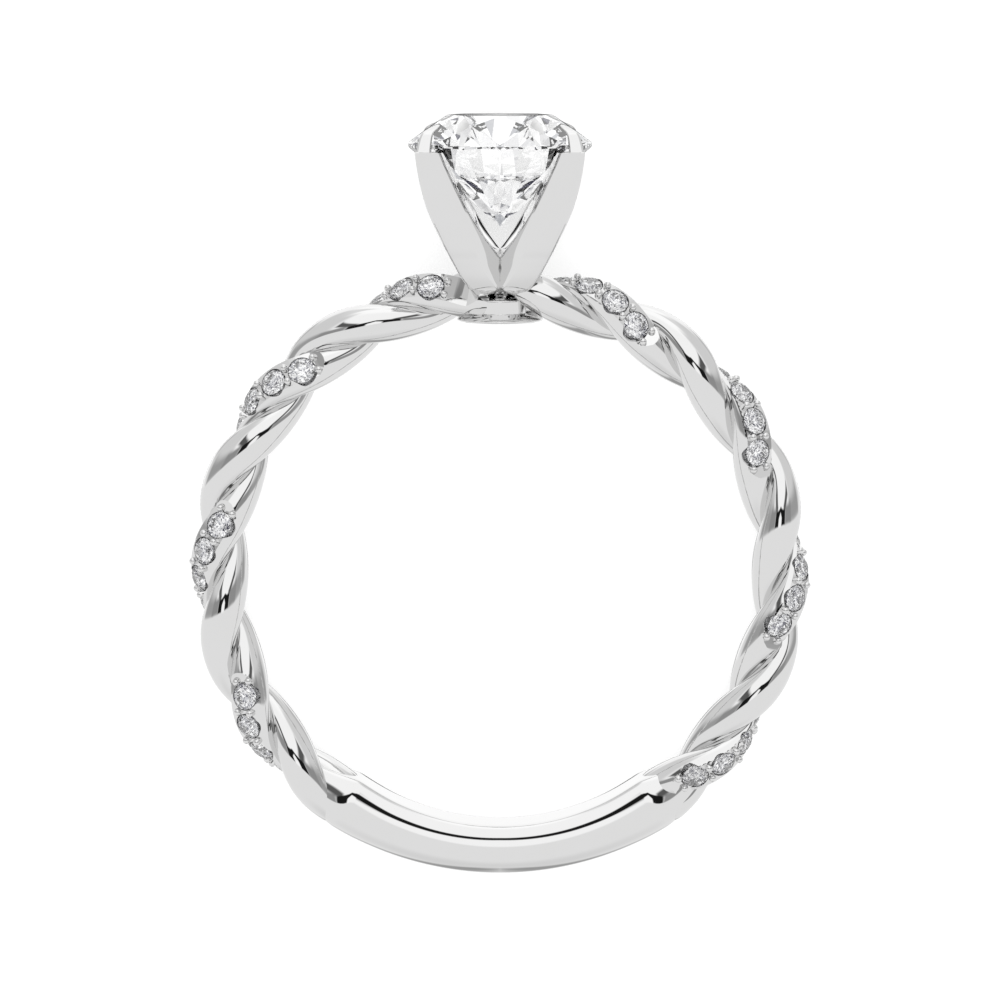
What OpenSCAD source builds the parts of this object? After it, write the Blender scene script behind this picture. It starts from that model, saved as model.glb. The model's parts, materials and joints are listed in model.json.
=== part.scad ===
// Twisted shank ring with one round centre stone in a four prong head.
// The ring lies on its side as it rests by itself: the finger axis points up along Z, leaning a few
// degrees, and the head lies towards +Y. The origin is the centre of the finger hole.

/* [Finger hole] */
// Inside diameter of the ring
finger_d = 17.9; // [15:0.1:22]

/* [Rope of two strands] */
// Thickness of a strand, measured away from the middle of the rope
strand_t = 1.16; // [0.95:0.01:1.4]
// Width of a strand across the rope
strand_w = 1.36; // [1.1:0.01:1.6]
// Distance from the middle of the rope to the middle of a strand
strand_offset = 0.45; // [0.38:0.01:0.52]
// Turns that a strand would make on a full circle
twist_turns = 10; // [8:1:12]

/* [Plain lower band] */
// Arc of the finger hole that the plain band covers, in degrees
band_arc = 72; // [50:1:100]
// Width of the plain band along the finger axis
band_w = 1.95; // [1.5:0.05:2.6]
// Thickness of the plain band opposite the head
band_t = 1.86; // [1.5:0.02:2.3]
// Width of the flat inside of the plain band
band_flat_w = 1.3; // [0.8:0.05:1.4]
// How far the inside of the plain band stands back from the inside of the rope
band_set_back = 0.12; // [0:0.02:0.3]

/* [Small stones] */
// Diameter of a small stone
accent_d = 0.94; // [0.8:0.02:0.96]
// Height of a small stone's girdle above the middle of its strand
accent_seat_h = 0.3; // [0.2:0.01:0.36]
// Height of the strand's flat above the small stones' girdles
flat_h = 0.05; // [0:0.01:0.1]
// Diameter of a small stone's table
accent_table_d = 0.54; // [0.4:0.01:0.6]
// Height of a small stone's crown
accent_crown_h = 0.14; // [0.1:0.01:0.2]
// Depth of a small stone's pavilion
accent_pavilion_h = 0.4; // [0.36:0.01:0.44]
// Thickness of a small stone's girdle
accent_girdle_t = 0.04; // [0.02:0.01:0.08]
// Angle round the rope of the first small stone of each turn
accent_first = -8; // [-12:1:-4]
// Angle round the rope from one small stone to the next
accent_step = 52; // [51:1:54]
// Thickness of a bead prong
bead_d = 0.24; // [0.2:0.01:0.3]
// Distance between the two bead prongs of a pair
bead_gap = 0.54; // [0.4:0.02:0.7]
// Height of a bead prong above the small stones' girdles
bead_h = 0.25; // [0.18:0.01:0.3]

/* [Centre stone] */
// Diameter of the centre stone
centre_d = 6.4; // [5.4:0.1:7.4]
// Diameter of the centre stone's table
table_d = 3.65; // [2.8:0.05:4]
// Slope of its crown facets in degrees
crown_angle = 34.5; // [30:0.5:38]
// Slope of its pavilion facets in degrees
pavilion_angle = 40.8; // [39:0.2:43]
// Thickness of its girdle
girdle_t = 0.18; // [0.1:0.02:0.3]
// Clear height under its point, above the head base
culet_clear = 2.46; // [2:0.02:3.2]

/* [Head] */
// Diameter of the head base
base_d = 3.0; // [2.6:0.1:3.4]
// Height of the head base
base_h = 0.88; // [0.7:0.02:1.1]
// Height of the solid cup that joins the prongs
cup_h = 1.5; // [1:0.05:1.6]
// Width of a prong's tip
prong_tip_w = 0.88; // [0.7:0.02:1.1]
// Width of a prong where it leaves the cup
prong_root_w = 2.3; // [1.8:0.05:2.5]
// Thickness of a prong, measured away from the head's axis
prong_t = 0.92; // [0.75:0.01:1.1]
// Reach of the claw tips over the edge of the centre stone
claw_reach = 0.4; // [0.2:0.02:0.6]
// Height of the claw tips above the centre stone's girdle
claw_h = 0.54; // [0.4:0.01:0.7]

/* [Fits] */
// Gap between each stone and the metal that holds it
stone_gap = 0.03; // [0.02:0.01:0.05]

/* [Hidden] */
// Points round the rope and sections in one turn of it, and degrees of the band from section to section
ROPE_POINTS = 16;
RINGS_PER_TURN = 14;
BAND_STEP = 5;
// Sides of a bead prong, a prong and the head
BEAD_SIDES = 6;
PRONG_SIDES = 10;
HEAD_SIDES = 24;
// How far pieces that are soldered together reach into each other
SOLDER_LAP = 0.05;
METAL = [0.86, 0.87, 0.89];
STONE = [0.82, 0.9, 0.96];
UP = [0, 0, 1];

// The angle that each small stone of a turn faces, from the front of the ring towards outward
FACE = [32, 44, 58, 96, 140];

// Path of a prong as shares, from the head base up to the girdle
HEIGHT = 0;
RADIUS = 1;
WIDTH = 2;
PRONG = [
    [0.03, 0.16, 0.30],
    [0.16, 0.32, 0.95],
    [0.30, 0.47, 1.02],
    [0.42, 0.61, 0.93],
    [0.54, 0.775, 0.76],
    [0.66, 0.90, 0.58],
    [0.80, 1.01, 0.35],
    [0.95, 1.10, 0.02]];
// Bend of a claw from there as shares: its height, its reach inward, the tip's width and thickness
REACH = 1;
TIP_WIDTH = 2;
TIP_T = 3;
CLAW = [
    [0.36, 0.00, 1.00, 0.96],
    [0.72, 0.16, 0.96, 0.84],
    [0.94, 0.46, 0.82, 0.68],
    [1.00, 0.78, 0.56, 0.44]];

// The rope: its core is a circle, and a strand's angle round the core is 0 at the front and 90 outward
finger_r = finger_d / 2;
rope_r = strand_offset + strand_t / 2;
core_r = finger_r + rope_r;
turn_arc = 360 / twist_turns;
band_edge = 180 - band_arc / 2;
// The plain strand is outermost at the head, so the stone strand comes to the front this far from it
first_front = 0.75 * turn_arc;

// The head, measured from the middle of the finger hole along the head's axis
base_top = finger_r + base_h;
centre_r = centre_d / 2;
pavilion_h = centre_r * tan(pavilion_angle);
crown_h = (centre_r - table_d / 2) * tan(crown_angle);
girdle_y = base_top + culet_clear + pavilion_h + girdle_t / 2;
head_clear_r = 0.41 * base_d;
head_edge = asin(head_clear_r / core_r);

// Every small stone as [angle from the head, number in its turn]
spots = [for (g = [-ceil(twist_turns / 2):ceil(twist_turns / 2)], k = [0:len(FACE) - 1])
    let (t = spot_angle(g, k))
    if (abs(t) > head_edge + asin(accent_d / 2 / core_r) && abs(t) < band_edge) [t, k]];
// Every pair of bead prongs in the same way, half a step before a stone or after the last one
bead_spots = [for (g = [-ceil(twist_turns / 2):ceil(twist_turns / 2)], k = [0:len(FACE)])
    let (t = spot_angle(g, k - 0.5))
    if (abs(t) > head_edge + asin(bead_d / core_r) && abs(t) < band_edge) [t, k - 0.5]];

function accent_name(i) = str("accent_stone_", i < 10 ? "0" : "", i);
function unit(v) = v / norm(v);
function mix(a, b, share) = a + (b - a) * share;
function out_of_ring(t) = [sin(t), cos(t), 0];
function round_ring(t) = [cos(t), -sin(t), 0];
function out_of_rope(t, a) = sin(a) * out_of_ring(t) + cos(a) * UP;
function round_rope(t, a) = cos(a) * out_of_ring(t) - sin(a) * UP;

// Angle of the stone strand round the rope at the angle t from the head
function rope_angle(t) = twist_turns * (first_front - t);
function strand_point(t, a) = core_r * out_of_ring(t) + strand_offset * out_of_rope(t, a);
function strand_dir(t, a) = unit(
    (core_r + strand_offset * sin(a)) * round_ring(t) - twist_turns * strand_offset * round_rope(t, a));

// Distance from the core to the outside of the nearer strand, at the angle w from the stone strand
lay_angle = atan(twist_turns * strand_offset / core_r);
function strand_reach(w) =
    let (p = strand_t / 2, q = strand_w / 2 / cos(lay_angle), c = abs(cos(w)),
        e = (c / p) ^ 2 + (sin(w) / q) ^ 2, f = strand_offset * c / p ^ 2, g = (strand_offset / p) ^ 2 - 1)
    (f + sqrt(f ^ 2 - e * g)) / e;

// Place in its turn of the rope angle a, counted in small stones
function place_in_turn(a) = let (k = ((a - accent_first) % 360 + 360) % 360 / accent_step)
    k > len(FACE) + 0.5 ? k - 360 / accent_step : k;
// The stone strand is cut flat under its stones, so its outside reaches no further than this
function flat_reach(a, w) =
    let (k = place_in_turn(a), tilt = a - face_angle(k), high = cos(tilt + w))
    k < -0.7 || k > len(FACE) - 0.3 || high < 0.1 ? 2 * rope_r
        : (accent_seat_h + flat_h + strand_offset * cos(tilt)) / high;

function rope_ring(t) =
    let (a = rope_angle(t), plain = abs(t) > band_edge)
    [for (i = [0:ROPE_POINTS - 1])
        let (w = 360 * i / ROPE_POINTS, whole = strand_reach(w))
        core_r * out_of_ring(t) + (cos(w) < 0.01 || plain ? whole : min(whole, flat_reach(a, w)))
            * out_of_rope(t, a + w)];

// Section of the plain band as [outward, along the finger axis]: flat inside, round outside
function band_section(half_t, half_w, flat) =
    concat([for (u = [0:20:180]) [half_t * sin(u), half_w * cos(u)]],
        [[-0.6 * half_t, mix(-half_w, -flat, 0.2)], [-half_t, -flat],
        [-half_t, flat], [-0.6 * half_t, mix(half_w, flat, 0.2)]]);

// How full the band is, 0 where it starts inside the rope, and how far it has left the rope's thickness
function band_full(t) = min(1, 0.5 + (t - band_edge + 8) / 20);
function band_share(t) = sin(90 * max(0, min(1, (t - band_edge) / (180 - band_edge))));
function band_ring(t) =
    let (side = min(t, 360 - t), half_t = mix(rope_r, band_t / 2, band_share(side)),
        middle = finger_r + band_set_back * band_share(side) + half_t, full = band_full(side))
    [for (p = band_section(half_t, band_w / 2, band_flat_w / 2))
        (middle + full * p[0]) * out_of_ring(t) + full * p[1] * UP];

// Angle from the head of small stone k in turn g, and the angle that it faces
function spot_angle(g, k) = first_front + g * turn_arc - (accent_first + accent_step * k) / twist_turns;
function face_angle(k) = k < 0 ? FACE[0] : k > len(FACE) - 1 ? FACE[len(FACE) - 1]
    : mix(FACE[floor(k)], FACE[ceil(k)], k - floor(k));

// Place on the stone strand as a matrix: X along the strand, Z out of the seat
function seat_frame(spot) =
    let (t = spot[0], a = rope_angle(t), along = strand_dir(t, a), out = out_of_rope(t, a),
        lean = face_angle(spot[1]) - (accent_first + accent_step * spot[1]),
        face = cos(lean) * out + sin(lean) * cross(out, along),
        side = cross(face, along), at = strand_point(t, a) + accent_seat_h * face)
    [[along[0], side[0], face[0], at[0]],
     [along[1], side[1], face[1], at[1]],
     [along[2], side[2], face[2], at[2]]];

// Where the ring touches the surface that it lies on: the centre stone's edge and the plain band's side
band_middle = finger_r + band_set_back + band_t / 2;
rest_slope = min([for (p = band_section(band_t / 2, band_w / 2, band_flat_w / 2))
    (centre_r + p[1]) / (girdle_y - girdle_t / 2 + band_middle + p[0])]);

// Tube through a list of rings of points, closed at both ends
module tube(rings) {
    n = len(rings[0]);
    last = len(rings) - 1;
    points = [for (ring = rings) each ring];
    start = [[for (j = [n - 1:-1:0]) j]];
    end = [[for (j = [0:n - 1]) last * n + j]];
    sides = [for (i = [0:last - 1], j = [0:n - 1], f = [0, 1])
        let (k = (j + 1) % n, a = i * n, b = a + n)
        f == 0 ? [a + j, a + k, b + k] : [b + j, a + j, b + k]];
    polyhedron(points = points, faces = concat(start, end, sides), convexity = 8);
}

// Turns the upright ring onto its side, so that it rests on its plain band and its centre stone
module lay_down() {
    rotate([atan(rest_slope), 0, 0]) children();
}

// Stands a shape that is drawn along Z on the head's axis, at the height y
module on_head(y) {
    translate([0, y, 0]) rotate([-90, 0, 0]) children();
}

// The two strands, turned about each other all the way from one end of the plain band to the other
module twisted_strands() {
    reach = band_edge + turn_arc / 6;
    count = ceil(2 * reach * RINGS_PER_TURN / turn_arc);
    tube([for (i = [0:count]) rope_ring(mix(-reach, reach, i / count))]);
}

module lower_band() {
    start = band_edge - 8;
    count = ceil((360 - 2 * start) / BAND_STEP);
    tube([for (i = [0:count]) band_ring(mix(start, 360 - start, i / count))]);
}

// Room for the foot of the head between the ends of the strands
module head_clearance() {
    on_head(base_top - SOLDER_LAP) cylinder(r = head_clear_r, h = 2 * rope_r, $fn = HEAD_SIDES);
}

module head_base() {
    on_head(finger_r) rotate_extrude($fn = HEAD_SIDES)
        polygon([[0, 0], [0.41 * base_d, 0], [0.48 * base_d, 0.1 * base_h], [0.5 * base_d, 0.26 * base_h],
            [0.46 * base_d, 0.4 * base_h], [0.38 * base_d, 0.48 * base_h], [0.36 * base_d, base_h],
            [0, base_h]]);
}

module head_cup() {
    on_head(base_top) rotate_extrude($fn = HEAD_SIDES)
        polygon([[0, -SOLDER_LAP], [0.22 * base_d, -SOLDER_LAP], [0.34 * base_d, 0.15 * cup_h],
            [0.42 * base_d, 0.4 * cup_h], [0.42 * base_d, cup_h], [0, cup_h]]);
}

// Path of a prong as [radius, height, width, thickness]
prong_path = concat(
    [for (row = PRONG) [centre_r * row[RADIUS], mix(base_top, girdle_y, row[HEIGHT]),
        mix(prong_tip_w, prong_root_w, row[WIDTH]), prong_t]],
    [for (row = CLAW) [mix(centre_r * PRONG[len(PRONG) - 1][RADIUS], centre_r - claw_reach, row[REACH]),
        girdle_y + claw_h * row[HEIGHT], prong_tip_w * row[TIP_WIDTH], prong_t * row[TIP_T]]]);

module prong(turned) {
    out = [cos(turned), 0, sin(turned)];
    side = [-sin(turned), 0, cos(turned)];
    last = len(prong_path) - 1;
    tube([for (i = [0:last])
        let (p = prong_path[i], before = prong_path[max(0, i - 1)], after = prong_path[min(last, i + 1)],
            run = unit([after[0] - before[0], after[1] - before[1]]),
            across = run[1] * out - run[0] * [0, 1, 0],
            at = p[0] * out + [0, p[1], 0])
        [for (j = [0:PRONG_SIDES - 1])
            let (u = 360 * j / PRONG_SIDES)
            at + p[3] / 2 * cos(u) * across + p[2] / 2 * sin(u) * side]]);
}

module prongs() {
    for (turned = [45:90:315]) prong(turned);
}

module bead_pair(spot) {
    multmatrix(seat_frame(spot)) for (side = [-1, 1])
        translate([0, side * bead_gap / 2, -bead_d / 2])
            cylinder(d1 = bead_d, d2 = 0.6 * bead_d, h = bead_d / 2 + bead_h, $fn = BEAD_SIDES);
}

module accent_seat() {
    r = accent_d / 2 + stone_gap / cos(22.5);
    low = accent_girdle_t / 2 + stone_gap;
    hull() {
        translate([0, 0, -low]) cylinder(r = r, h = strand_w / 2, $fn = 8);
        translate([0, 0, -low - accent_pavilion_h]) cylinder(r = 0.12, h = stone_gap, $fn = 8);
    }
}

module centre_seat() {
    r = (centre_r + stone_gap) / cos(180 / HEAD_SIDES);
    low = girdle_t / 2 + stone_gap;
    on_head(girdle_y) rotate_extrude($fn = HEAD_SIDES)
        polygon([[0, -low - pavilion_h], [r, -low], [r, low],
            [table_d / 2 + stone_gap, low + crown_h], [0, low + crown_h]]);
}

module ring_mount() {
    color(METAL) lay_down() difference() {
        union() {
            difference() {
                twisted_strands();
                head_clearance();
            }
            lower_band();
            for (spot = bead_spots) bead_pair(spot);
            head_base();
            head_cup();
            prongs();
        }
        for (spot = spots) multmatrix(seat_frame(spot)) accent_seat();
        centre_seat();
    }
}

// Round brilliant along Z with its girdle on the origin: 33 facets above the girdle and 24 below
module brilliant(r, table_r, crown, girdle, pavilion) {
    star_r = mix(table_r, r, 0.5) / cos(22.5) * 0.98;
    low_r = 0.23 * r;
    top = girdle / 2;
    function round(radius, first, z) = [for (i = [0:7])
        [radius * cos(45 * i + first), radius * sin(45 * i + first), z]];
    points = concat(
        round(table_r, 0, top + crown),
        round(star_r, 22.5, top + crown * (r - star_r * cos(22.5)) / (r - table_r)),
        round(r, 0, top), round(r, 22.5, top), round(r, 0, -top), round(r, 22.5, -top),
        round(low_r, 22.5, -top - pavilion * (1 - low_r * cos(22.5) / r)),
        [[0, 0, -top - pavilion]]);
    faces = concat([[for (i = [7:-1:0]) i]], [for (i = [0:7], f = [0:12])
        let (j = (i + 1) % 8, table = 0, star = 8, main = 16, half = 24, low = 32, low_half = 40,
            deep = 48, point = 56)
        [[table + i, table + j, star + i],
         [table + j, main + j, star + i],
         [table + j, star + j, main + j],
         [star + i, main + j, half + i],
         [star + i, half + i, main + i],
         [main + i, half + i, low + i],
         [half + i, low_half + i, low + i],
         [half + i, main + j, low_half + i],
         [main + j, low + j, low_half + i],
         [low + i, low_half + i, deep + i],
         [low_half + i, low + j, deep + i],
         [low + j, point, deep + i],
         [low + j, deep + j, point]][f]]);
    polyhedron(points = points, faces = faces, convexity = 2);
}

module centre_stone() {
    color(STONE) lay_down() on_head(girdle_y)
        brilliant(centre_r, table_d / 2, crown_h, girdle_t, pavilion_h);
}

// Small stone in a single cut: a table, eight facets round it and eight below
module single_cut() {
    color(STONE) hull() {
        translate([0, 0, accent_girdle_t / 2])
            cylinder(d1 = accent_d, d2 = accent_table_d, h = accent_crown_h, $fn = 8);
        translate([0, 0, -accent_girdle_t / 2 - accent_pavilion_h])
            cylinder(d1 = 0, d2 = accent_d, h = accent_pavilion_h, $fn = 8);
    }
}

module accent_stone(i) {
    lay_down() multmatrix(seat_frame(spots[i - 1])) single_cut();
}

ring_mount();
centre_stone();
for (i = [1:len(spots)])
    accent_stone(i);
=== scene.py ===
import json
import math
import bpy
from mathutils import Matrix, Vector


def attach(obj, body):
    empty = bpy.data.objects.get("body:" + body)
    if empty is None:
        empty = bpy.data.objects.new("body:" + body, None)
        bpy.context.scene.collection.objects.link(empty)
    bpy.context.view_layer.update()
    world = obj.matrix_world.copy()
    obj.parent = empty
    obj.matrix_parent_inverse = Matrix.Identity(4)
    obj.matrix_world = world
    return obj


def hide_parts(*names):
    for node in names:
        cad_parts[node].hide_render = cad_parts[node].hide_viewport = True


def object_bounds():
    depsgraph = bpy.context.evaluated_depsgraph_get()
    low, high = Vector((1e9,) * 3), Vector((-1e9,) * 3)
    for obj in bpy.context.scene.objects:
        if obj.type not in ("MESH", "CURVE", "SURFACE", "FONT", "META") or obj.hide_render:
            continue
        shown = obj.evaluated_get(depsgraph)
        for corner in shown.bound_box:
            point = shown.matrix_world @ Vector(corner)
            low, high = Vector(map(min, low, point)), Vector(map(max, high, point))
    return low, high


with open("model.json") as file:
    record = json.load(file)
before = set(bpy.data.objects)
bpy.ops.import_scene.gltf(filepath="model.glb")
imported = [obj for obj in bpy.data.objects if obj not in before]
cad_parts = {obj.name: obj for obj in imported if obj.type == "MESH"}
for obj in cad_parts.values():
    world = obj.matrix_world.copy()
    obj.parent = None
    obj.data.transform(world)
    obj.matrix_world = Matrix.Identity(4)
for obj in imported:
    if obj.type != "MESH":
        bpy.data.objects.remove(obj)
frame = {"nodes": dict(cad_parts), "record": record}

from types import SimpleNamespace

import bmesh
import bpy
from bpy.props import FloatProperty, FloatVectorProperty, IntProperty, PointerProperty
from bpy.types import Operator, Panel, PropertyGroup
from mathutils import Matrix, Vector

bl_info = {
    "name": "Twisted shank ring",
    "version": (1, 0, 0),
    "blender": (4, 5, 0),
    "location": "3D View > Sidebar > Ring",
    "description": "Builds a twisted shank ring with a four prong head round its packed model",
    "category": "Add Mesh",
}

# All shapes are drawn in millimetres on an upright ring: the origin is the middle of the finger hole, the
# head lies towards +Y and the finger axis is Z. Each finished mesh is then laid down and made metres.
MM = 0.001
FINGER_AXIS = frame["record"]["mounts"][0]["axis"]
LEAN = math.atan2(-FINGER_AXIS[1], FINGER_AXIS[2])
LAID_DOWN = Matrix.Rotation(LEAN, 4, "X")
CAD_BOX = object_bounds()

UP = Vector((0, 0, 1))

# How finely the shapes are divided
RINGS_PER_TURN = 96
STRAND_SIDES = 48
FLAT_STEPS = 72
BAND_STEPS = 150
PRONG_STEPS = 78
CLAW_STEPS = 36
HEAD_SIDES = 96
ROOM_SIDES = 64
SEAT_SIDES = 40
BEAD_SIDES = 16
BEAD_STEPS = 5
SMALL_STONE_SIDES = 32

# The rope: where the stone strand first comes to the front, as a share of a turn, the part of a turn by which
# the strands run on into the lower band, and what is left of their offset at the end
FIRST_FRONT = 0.75
RUN_ON_PART = 6
END_OFFSET = 0.1
# The lower band: how far before its edge it starts inside the rope, over what arc it grows to its full
# size, the share of that size it starts with, and how fast it takes its own thickness
BAND_BEFORE = math.radians(10)
BAND_GROWTH = math.radians(13)
BAND_START_SIZE = 0.4
BAND_EASE = 3
# The flats of the stone strand: half the width of the cut, how far past the last stones it goes and from
# where it rises, both in stone steps, and its rise for each step and for each radian nearer the head
FLAT_HALF_W = 1.1
FLAT_PAST = 1.2
FLAT_LEVEL_PAST = 0.5
FLAT_RISE = 1.1
FLAT_RISE_AT_HEAD = 9
# The seats of the small stones: radius of the drill's point, height of the cut above the girdle, and how
# much narrower and deeper the opened side is
DRILL_POINT_R = 0.12
SEAT_CUT_H = 0.8
OPENED_INSET = 0.02
OPENED_DEPTH = 0.1
# How far a bead prong goes down into the strand and how much each small stone is turned from the one before
BEAD_FOOT = -0.3
STONE_TURN = 0.37
# The head base as shares of its diameter and height, its rounded edges, and the room that the strands leave
# for it and for its barrel as shares of its diameter
BASE_PROFILE = ((0, 0), (0.44, 0), (0.49, 0.04), (0.5, 0.1), (0.47, 0.17), (0.37, 0.28), (0.315, 0.33),
                (0.315, 0.36), (0.335, 0.86), (0.325, 0.9), (0.14, 0.91), (0.14, 1.06), (0, 1.06))
BASE_EDGE = 0.05
HEAD_CLEAR = 0.41
BARREL_ROOM = 0.315
ROOM_BELOW = 0.1
# The brilliant cut: facets round the table, where the stars end between table and girdle, and where the
# lower halves end as a share of the radius
TABLE_SIDES = 8
STAR_SHARE = 0.5
LOWER_HALVES_R = 0.23
# Angle that each small stone of a turn faces, in degrees from the front of the ring towards outward
STONE_FACES = (32, 44, 58, 96, 140)
# Shape of a prong from the head base up to the girdle, seen from above as a square that faces front and
# side: height from base to girdle, its outer face from the head's axis as a share of the centre stone's
# radius, and as shares of that distance the gap to the next prong and the crease where the web begins
PRONG_PATH = (
    (0.000, 0.230, -0.60, 0.84),
    (0.018, 0.262, -0.55, 0.56),
    (0.040, 0.300, -0.50, 0.22),
    (0.070, 0.348, -0.44, 0.12),
    (0.137, 0.423, -0.30, 0.24),
    (0.223, 0.499, -0.12, 0.35),
    (0.273, 0.541, 0.000, 0.38),
    (0.327, 0.588, 0.111, 0.395),
    (0.422, 0.661, 0.271, 0.42),
    (0.516, 0.731, 0.376, 0.46),
    (0.608, 0.791, 0.459, 0.50),
    (0.737, 0.850, 0.556, 0.58),
    (0.864, 0.890, 0.635, 0.66),
    (0.965, 0.911, 0.692, 0.72),
)
# How much the walls of the gaps lean together inward, how far neighbouring prongs reach into each other and
# the share of its sides that each corner is rounded by
WALL_LEAN = 0.16
PRONG_LAP = 0.02
PRONG_ROUNDING = 0.16
# Its claw above as shares: height above the girdle, reach inward and width
CLAW_PATH = (
    (-0.29, 0.00, 0.74),
    (0.00, 0.07, 0.70),
    (0.35, 0.16, 0.655),
    (0.70, 0.27, 0.60),
    (0.95, 0.41, 0.54),
    (1.17, 0.68, 0.44),
    (1.31, 0.86, 0.30),
    (1.40, 0.95, 0.10),
)
# How far the claw's foot stands out of the prong, how far its tip stays off the reach, and its depth
CLAW_FOOT = 0.02
CLAW_TIP = 0.1
CLAW_DEPTH = 0.9

# The camera of the photo, in the ring's upright frame
CAMERA_EYE = Vector((0, 19.85, 123.30))
CAMERA_TARGET = Vector((0, 2.59, 0))
CAMERA_LENS = 126.43


def length(name, description, millimetres):
    return FloatProperty(name=name, description=description, default=millimetres * MM, unit="LENGTH",
                         precision=5)


def angle(name, description, degrees):
    return FloatProperty(name=name, description=description, default=math.radians(degrees),
                         subtype="ANGLE")


def colour(name, description, value):
    return FloatVectorProperty(name=name, description=description, default=value, subtype="COLOR",
                               min=0, max=1)


class RingSizes(PropertyGroup):
    finger_d: length("Finger hole", "Inside diameter of the ring", 17.9)
    strand_t: length("Strand thickness", "Thickness away from the middle of the rope", 1.16)
    strand_w: length("Strand width", "Width of a strand across the rope", 1.36)
    strand_offset: length("Strand offset", "From the middle of the rope to the middle of a strand", 0.45)
    twist_turns: IntProperty(name="Turns", description="Turns of a strand on a full circle", default=10)
    band_arc: angle("Band arc", "Arc of the ring that the plain lower band covers", 72)
    band_w: length("Band width", "Width of the lower band along the finger axis", 1.95)
    band_t: length("Band thickness", "Thickness of the lower band opposite the head", 1.86)
    band_flat_w: length("Band flat", "Width of the flat inside of the lower band", 1.3)
    band_set_back: length("Band set back", "How far the band stands back from the rope's inside", 0.12)


class StoneSizes(PropertyGroup):
    accent_d: length("Small stone", "Diameter of a small stone", 0.94)
    accent_table_d: length("Small table", "Diameter of a small stone's table", 0.54)
    accent_crown_h: length("Small crown", "Height of a small stone's crown", 0.14)
    accent_pavilion_h: length("Small pavilion", "Depth of a small stone's pavilion", 0.4)
    accent_girdle_t: length("Small girdle", "Thickness of a small stone's girdle", 0.04)
    accent_seat_h: length("Seat height", "Height of its girdle above the middle of the strand", 0.3)
    flat_h: length("Flat height", "Height of the strand's flat above the girdles", 0.05)
    seat_open: length("Seat opening", "How far a seat is opened towards the finger hole", 0.13)
    accent_first: angle("First stone", "Angle round the rope of the first stone of a turn", -8)
    accent_step: angle("Stone step", "Angle round the rope from stone to stone", 52)
    bead_d: length("Bead", "Thickness of a bead prong", 0.27)
    bead_gap: length("Bead gap", "Distance between the two beads of a pair", 0.56)
    bead_h: length("Bead height", "Height of a bead prong above the girdles", 0.25)
    centre_d: length("Centre stone", "Diameter of the centre stone", 6.4)
    table_d: length("Table", "Diameter of the centre stone's table", 3.65)
    crown_angle: angle("Crown angle", "Slope of the centre stone's crown facets", 34.5)
    pavilion_angle: angle("Pavilion angle", "Slope of the centre stone's pavilion facets", 40.8)
    girdle_t: length("Girdle", "Thickness of the centre stone's girdle", 0.18)
    stone_gap: length("Stone gap", "Gap between each stone and the metal that holds it", 0.03)


class HeadSizes(PropertyGroup):
    culet_clear: length("Clear height", "Height of the centre stone's point above the base", 2.46)
    base_d: length("Base", "Diameter of the head base", 3.0)
    base_h: length("Base height", "Height of the head base", 0.88)
    prong_tip_w: length("Prong tip", "Width of a prong's tip", 0.88)
    claw_reach: length("Claw reach", "Reach of the claws over the centre stone's edge", 0.4)
    claw_h: length("Claw height", "Height of the claws above the girdle", 0.54)


class Finish(PropertyGroup):
    gold: colour("White gold", "Colour of the polished white gold", (0.75, 0.75, 0.752))
    # The seat colour is darker than the polished gold: painted shade in the seats under the small stones
    seat: colour("Cut seat", "Colour of the cut faces under the small stones", (0.66, 0.66, 0.665))
    stone: colour("Diamond", "Colour of the diamonds", (1.0, 1.0, 1.0))
    floor: colour("Floor", "Colour of the floor", (0.45, 0.45, 0.45))
    floor_glow: FloatProperty(name="Floor glow", description="Light that comes through the floor",
                              default=0.62, min=0)


def own_properties(group):
    return [prop for prop in group.bl_rna.properties if prop.identifier not in ("rna_type", "name")]


def read(group):
    """The values of a property group, with every length in millimetres."""
    values = {}
    for prop in own_properties(group):
        value = getattr(group, prop.identifier)
        values[prop.identifier] = value / MM if prop.unit == "LENGTH" else value
    return values


def ring_sizes():
    """Every size of the ring, with the places that follow from them."""
    scene = bpy.context.scene
    s = SimpleNamespace(**read(scene.ring_sizes), **read(scene.stone_sizes), **read(scene.head_sizes))
    s.finger_r = s.finger_d / 2
    s.rope_r = s.strand_offset + s.strand_t / 2
    s.core_r = s.finger_r + s.rope_r
    s.turn_arc = math.tau / s.twist_turns
    s.band_edge = math.pi - s.band_arc / 2
    s.first_front = FIRST_FRONT * s.turn_arc
    s.rope_reach = s.band_edge + s.turn_arc / RUN_ON_PART
    s.base_top = s.finger_r + s.base_h
    s.centre_r = s.centre_d / 2
    s.pavilion_h = s.centre_r * math.tan(s.pavilion_angle)
    s.crown_h = (s.centre_r - s.table_d / 2) * math.tan(s.crown_angle)
    s.girdle_y = s.base_top + s.culet_clear + s.pavilion_h + s.girdle_t / 2
    s.head_clear_r = HEAD_CLEAR * s.base_d
    return s


def mix(a, b, share):
    return a + (b - a) * share


def smooth_step(u):
    u = min(max(u, 0), 1)
    return u * u * (3 - 2 * u)


def out_of_ring(t):
    return Vector((math.sin(t), math.cos(t), 0))


def out_of_rope(t, a):
    return math.sin(a) * out_of_ring(t) + math.cos(a) * UP


def round_rope(t, a):
    return math.cos(a) * out_of_ring(t) - math.sin(a) * UP


def rope_angle(s, t):
    """Angle of the stone strand round the rope, 0 at the front and 90 degrees outward."""
    return s.twist_turns * (s.first_front - t)


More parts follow.
